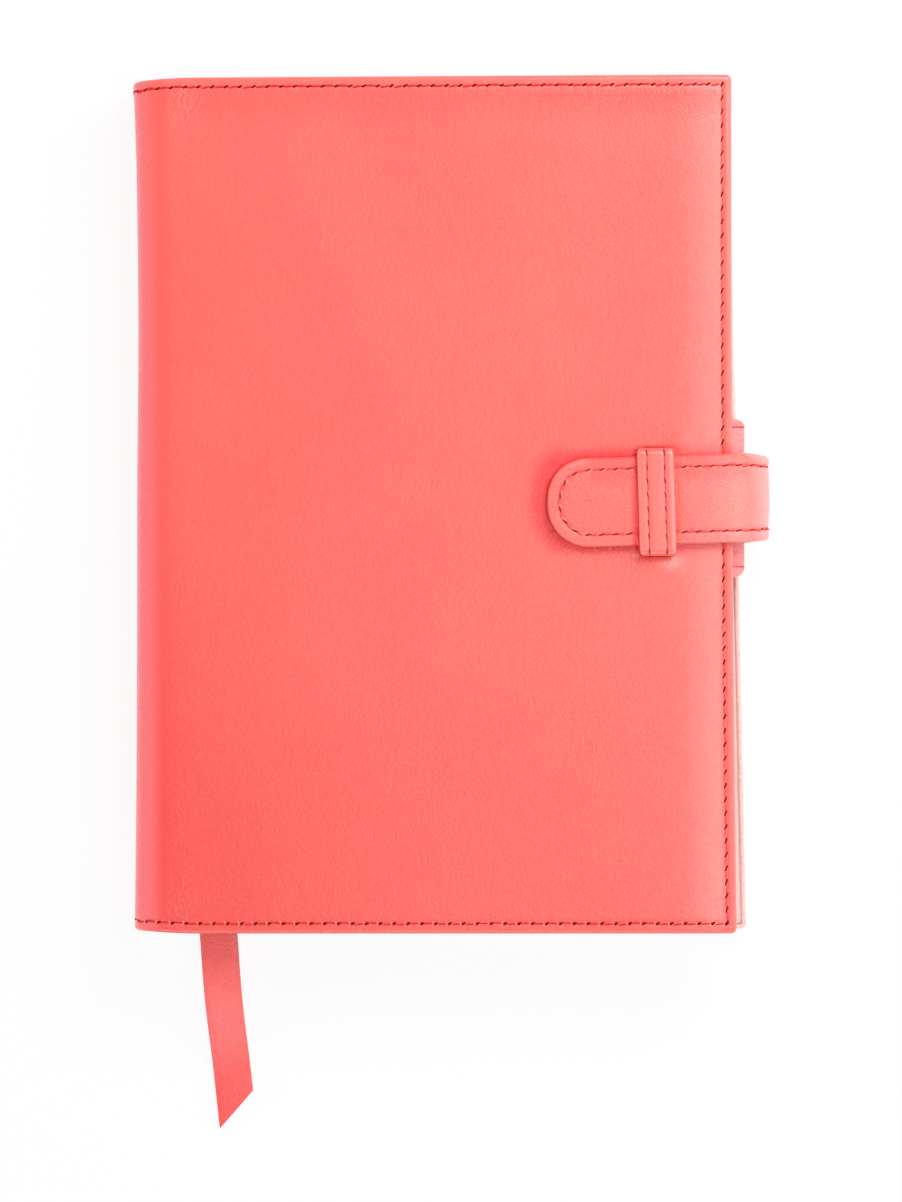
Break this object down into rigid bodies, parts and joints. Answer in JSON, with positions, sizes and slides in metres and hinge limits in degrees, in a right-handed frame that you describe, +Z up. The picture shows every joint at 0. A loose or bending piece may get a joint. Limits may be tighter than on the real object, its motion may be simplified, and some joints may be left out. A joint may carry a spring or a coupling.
{
  "type": "leather notebook",
  "caption": "Padded leather notebook cover around a sewn refill, closed by a strap under a keeper, with a pen loop at the fore edge and a leather bookmark; the cover opens flat.",
  "frame": {"origin": "on the back cover's flat outside, which lies on the table, at mid height of the cover and near the middle of its width", "axes": "+X to the fore edge, +Y to the head, +Z up through the closed book to the front cover"},
  "size_m": [0.1618, 0.2723, 0.0288],
  "materials": {
    "cover_leather": "satin",
    "strap_leather": "satin",
    "marker_leather": "satin",
    "lining_cloth": "matte",
    "foam": "matte",
    "grey_board": "matte",
    "refill_card": "matte",
    "paper": "matte",
    "mull_cloth": "matte",
    "band_thread": "matte"
  },
  "bodies": {
    "back_cover": {"back_leather": "cover_leather", "back_padding": "foam", "back_board": "grey_board", "back_lining": "lining_cloth", "back_pocket": "lining_cloth", "pen_loop": "strap_leather", "strap_root": "strap_leather", "refill_back_cover": "refill_card"},
    "spine": {"spine_leather": "cover_leather", "front_joint_leather": "cover_leather", "back_joint_leather": "cover_leather", "spine_lining": "lining_cloth", "refill_spine": "refill_card", "mull": "mull_cloth", "head_band": "band_thread", "tail_band": "band_thread"},
    "front_cover": {"front_leather": "cover_leather", "front_padding": "foam", "front_board": "grey_board", "front_lining": "lining_cloth", "front_pocket": "lining_cloth", "keeper": "strap_leather", "refill_front_cover": "refill_card"},
    "strap_wrap": {"strap_wrap": "strap_leather", "strap_wrap_lining": "strap_leather"},
    "strap_tongue": {"strap_tongue": "strap_leather", "strap_tongue_lining": "strap_leather"},
    "bookmark": {"bookmark": "marker_leather"},
    "leaves_01": {"section_01": "paper", "front_endpaper": "paper"},
    "leaves_02": {"section_02": "paper"},
    "leaves_03": {"section_03": "paper"},
    "leaves_04": {"section_04": "paper"},
    "leaves_05": {"section_05": "paper"},
    "leaves_06": {"section_06": "paper"},
    "leaves_07": {"section_07": "paper"},
    "leaves_08": {"section_08": "paper"},
    "leaves_09": {"section_09": "paper"},
    "leaves_10": {"section_10": "paper"},
    "leaves_11": {"section_11": "paper"},
    "leaves_12": {"section_12": "paper", "back_endpaper": "paper"}
  },
  "joints": [
    {"name": "cover_open", "type": "hinge", "parent": "spine", "child": "front_cover", "pos_m": [-0.07336, 0, 0.0218], "axis": [0, -1, 0], "range_deg": [0, 89], "deforming": ["front_joint_leather"]},
    {"name": "spine_roll", "type": "hinge", "parent": "back_cover", "child": "spine", "pos_m": [-0.07336, 0, 0.00264], "axis": [0, -1, 0], "range_deg": [0, 89], "deforming": ["back_joint_leather"]},
    {"name": "strap_open", "type": "hinge", "parent": "back_cover", "child": "strap_wrap", "pos_m": [0.08392, 0.0014, 0.00282], "axis": [0, 1, 0], "range_deg": [0, 78], "deforming": ["strap_wrap", "strap_wrap_lining"]},
    {"name": "strap_uncurl", "type": "hinge", "parent": "strap_wrap", "child": "strap_tongue", "pos_m": [0.08305, 0.0014, 0.02469], "axis": [0, 1, 0], "range_deg": [0, 107.64], "deforming": ["strap_tongue", "strap_tongue_lining"]},
    {"name": "bookmark_swing", "type": "hinge", "parent": "leaves_07", "child": "bookmark", "pos_m": [-0.0678, 0.1045, 0.01222], "axis": [0, 0, 1], "range_deg": [-0.8, 9]},
    {"name": "leaves_turn_01", "type": "hinge", "parent": "spine", "child": "leaves_01", "pos_m": [-0.07336, 0, 0.0218], "axis": [0, -1, 0], "range_deg": [0, 88.29]},
    {"name": "leaves_turn_02", "type": "hinge", "parent": "spine", "child": "leaves_02", "pos_m": [-0.07336, 0, 0.0218], "axis": [0, -1, 0], "range_deg": [0, 87.62]},
    {"name": "leaves_turn_03", "type": "hinge", "parent": "spine", "child": "leaves_03", "pos_m": [-0.07336, 0, 0.0218], "axis": [0, -1, 0], "range_deg": [0, 86.95]},
    {"name": "leaves_turn_04", "type": "hinge", "parent": "spine", "child": "leaves_04", "pos_m": [-0.07336, 0, 0.0218], "axis": [0, -1, 0], "range_deg": [0, 86.29]},
    {"name": "leaves_turn_05", "type": "hinge", "parent": "spine", "child": "leaves_05", "pos_m": [-0.07336, 0, 0.0218], "axis": [0, -1, 0], "range_deg": [0, 85.62]},
    {"name": "leaves_turn_06", "type": "hinge", "parent": "spine", "child": "leaves_06", "pos_m": [-0.07336, 0, 0.0218], "axis": [0, -1, 0], "range_deg": [0, 84.95]},
    {"name": "leaves_turn_07", "type": "hinge", "parent": "spine", "child": "leaves_07", "pos_m": [-0.07336, 0, 0.00264], "axis": [0, -1, 0], "range_deg": [-84.95, 0]},
    {"name": "leaves_turn_08", "type": "hinge", "parent": "spine", "child": "leaves_08", "pos_m": [-0.07336, 0, 0.00264], "axis": [0, -1, 0], "range_deg": [-85.62, 0]},
    {"name": "leaves_turn_09", "type": "hinge", "parent": "spine", "child": "leaves_09", "pos_m": [-0.07336, 0, 0.00264], "axis": [0, -1, 0], "range_deg": [-86.29, 0]},
    {"name": "leaves_turn_10", "type": "hinge", "parent": "spine", "child": "leaves_10", "pos_m": [-0.07336, 0, 0.00264], "axis": [0, -1, 0], "range_deg": [-86.95, 0]},
    {"name": "leaves_turn_11", "type": "hinge", "parent": "spine", "child": "leaves_11", "pos_m": [-0.07336, 0, 0.00264], "axis": [0, -1, 0], "range_deg": [-87.62, 0]},
    {"name": "leaves_turn_12", "type": "hinge", "parent": "spine", "child": "leaves_12", "pos_m": [-0.07336, 0, 0.00264], "axis": [0, -1, 0], "range_deg": [-88.29, 0]}
  ],
  "couplings": [
    {"joint": "spine_roll", "follows": "cover_open", "ratio": 1},
    {"joint": "strap_uncurl", "follows": "strap_open", "ratio": 1.38},
    {"joint": "leaves_turn_01", "follows": "cover_open", "ratio": 0.992},
    {"joint": "leaves_turn_02", "follows": "cover_open", "ratio": 0.9845},
    {"joint": "leaves_turn_03", "follows": "cover_open", "ratio": 0.977},
    {"joint": "leaves_turn_04", "follows": "cover_open", "ratio": 0.9695},
    {"joint": "leaves_turn_05", "follows": "cover_open", "ratio": 0.962},
    {"joint": "leaves_turn_06", "follows": "cover_open", "ratio": 0.9545},
    {"joint": "leaves_turn_07", "follows": "cover_open", "ratio": -0.9545},
    {"joint": "leaves_turn_08", "follows": "cover_open", "ratio": -0.962},
    {"joint": "leaves_turn_09", "follows": "cover_open", "ratio": -0.9695},
    {"joint": "leaves_turn_10", "follows": "cover_open", "ratio": -0.977},
    {"joint": "leaves_turn_11", "follows": "cover_open", "ratio": -0.9845},
    {"joint": "leaves_turn_12", "follows": "cover_open", "ratio": -0.992}
  ]
}
